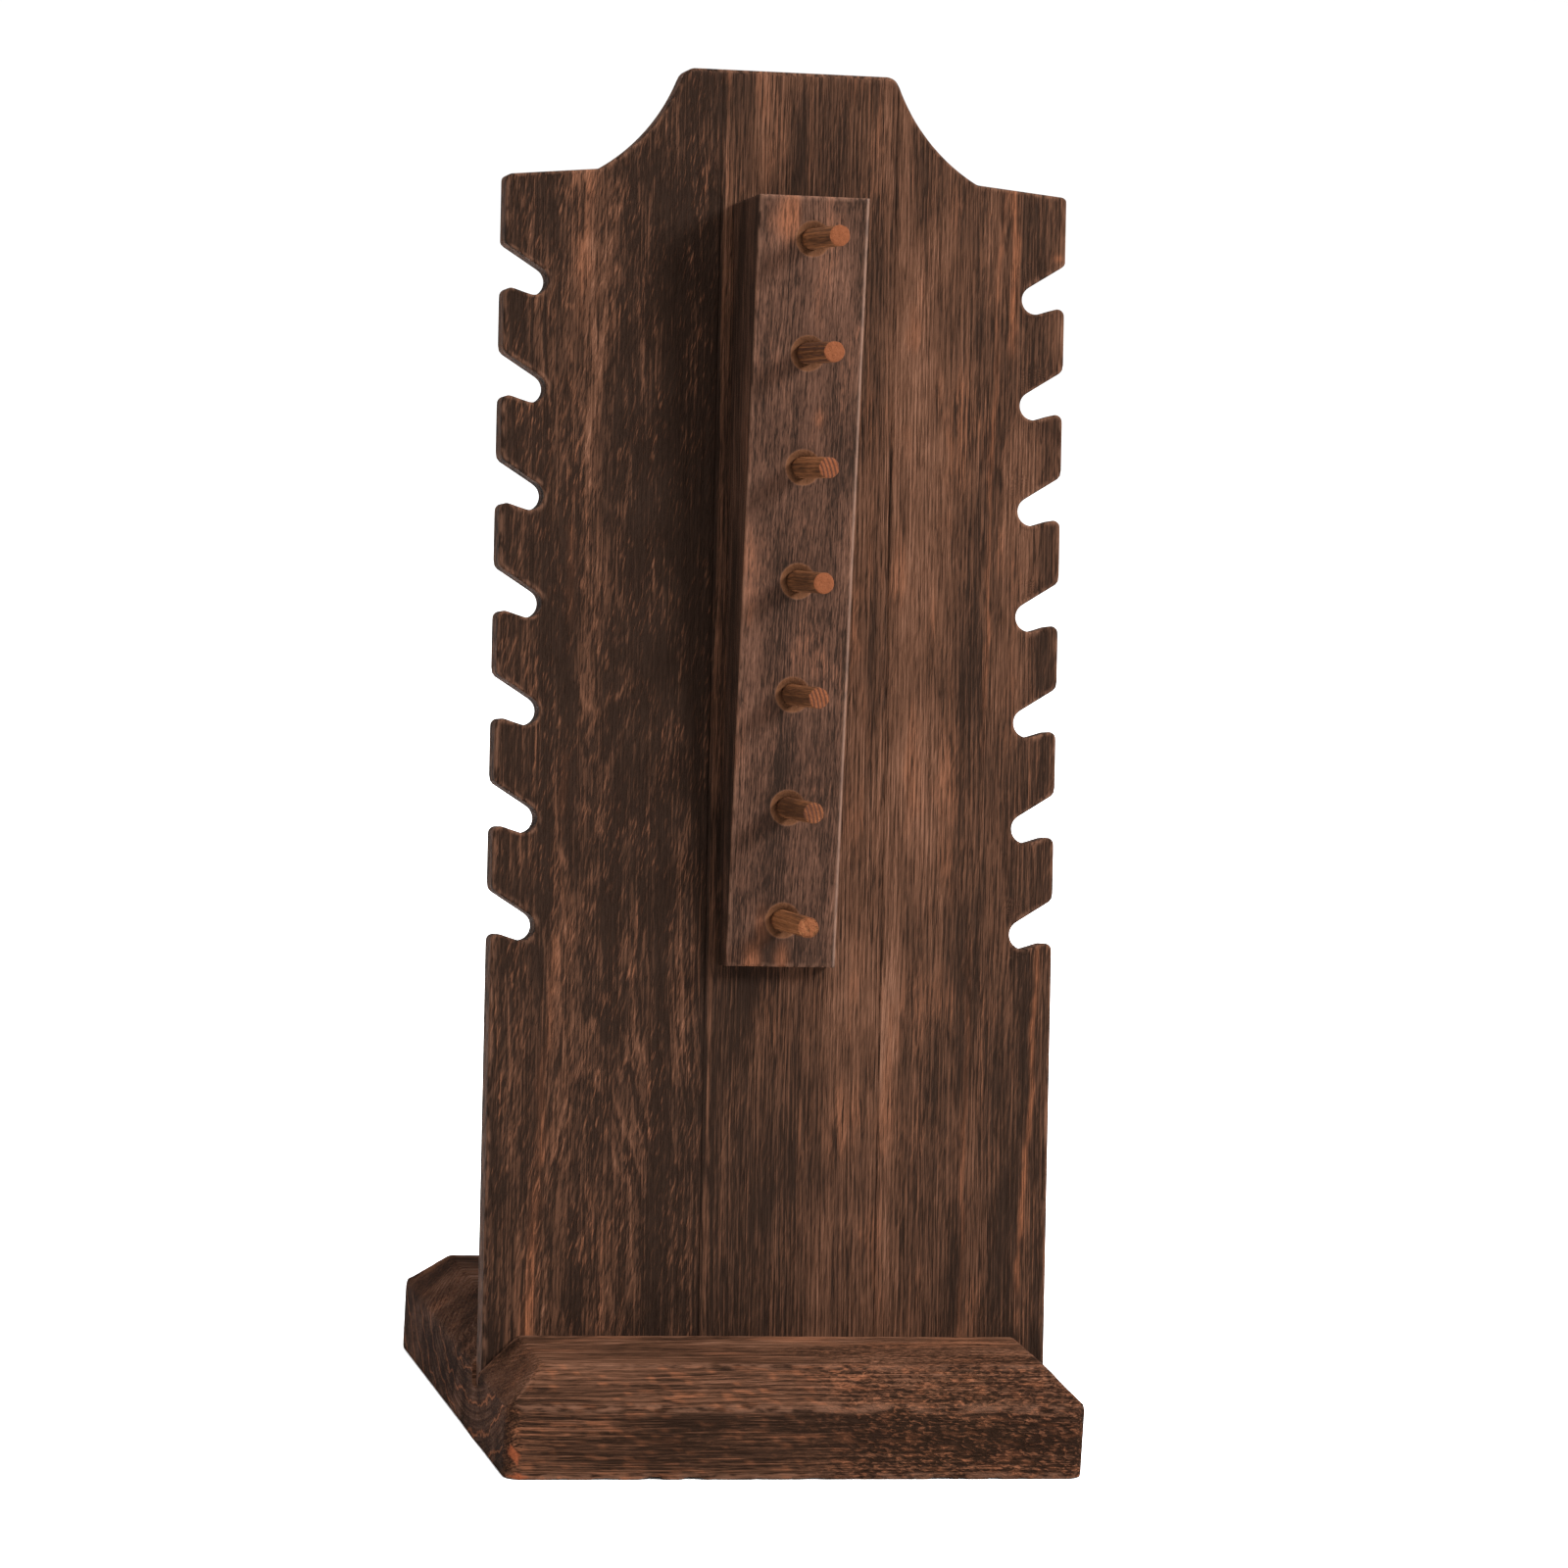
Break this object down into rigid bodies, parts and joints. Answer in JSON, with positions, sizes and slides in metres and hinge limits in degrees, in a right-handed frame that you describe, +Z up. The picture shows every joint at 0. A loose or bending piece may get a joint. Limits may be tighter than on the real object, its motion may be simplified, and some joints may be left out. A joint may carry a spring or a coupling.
{
  "type": "necklace display stand",
  "caption": "Bust-shaped wooden necklace stand: a leaning board with hook notches down both edges and a wedge rail of pegs, slotted into a bevelled base.",
  "frame": {"origin": "middle of the base's underside", "axes": "+Z up, -Y to the front, where the pegs point, +X to the right as seen from the front"},
  "size_m": [0.162, 0.16, 0.3757],
  "materials": {
    "base_wood": "flame-scorched and wire-brushed, dark umber, matt",
    "board_wood": "flame-scorched and wire-brushed, dark umber with near-black lines, matt",
    "rail_wood": "lightly scorched and brushed, grey-brown, matt",
    "peg_wood": "lightly scorched, orange-brown, matt",
    "screw_steel": "black oxide"
  },
  "bodies": {
    "base": {"base_block": "base_wood"},
    "upright": {"left_stave": "board_wood", "middle_stave": "board_wood", "right_stave": "board_wood", "peg_rail": "rail_wood", "peg_1": "peg_wood", "peg_2": "peg_wood", "peg_3": "peg_wood", "peg_4": "peg_wood", "peg_5": "peg_wood", "peg_6": "peg_wood", "peg_7": "peg_wood", "rail_screws": "screw_steel"}
  },
  "joints": [
    {"name": "upright_lift", "type": "slide", "parent": "base", "child": "upright", "axis": [0, 0.1564, 0.9877], "range_m": [0, 0.02]}
  ]
}
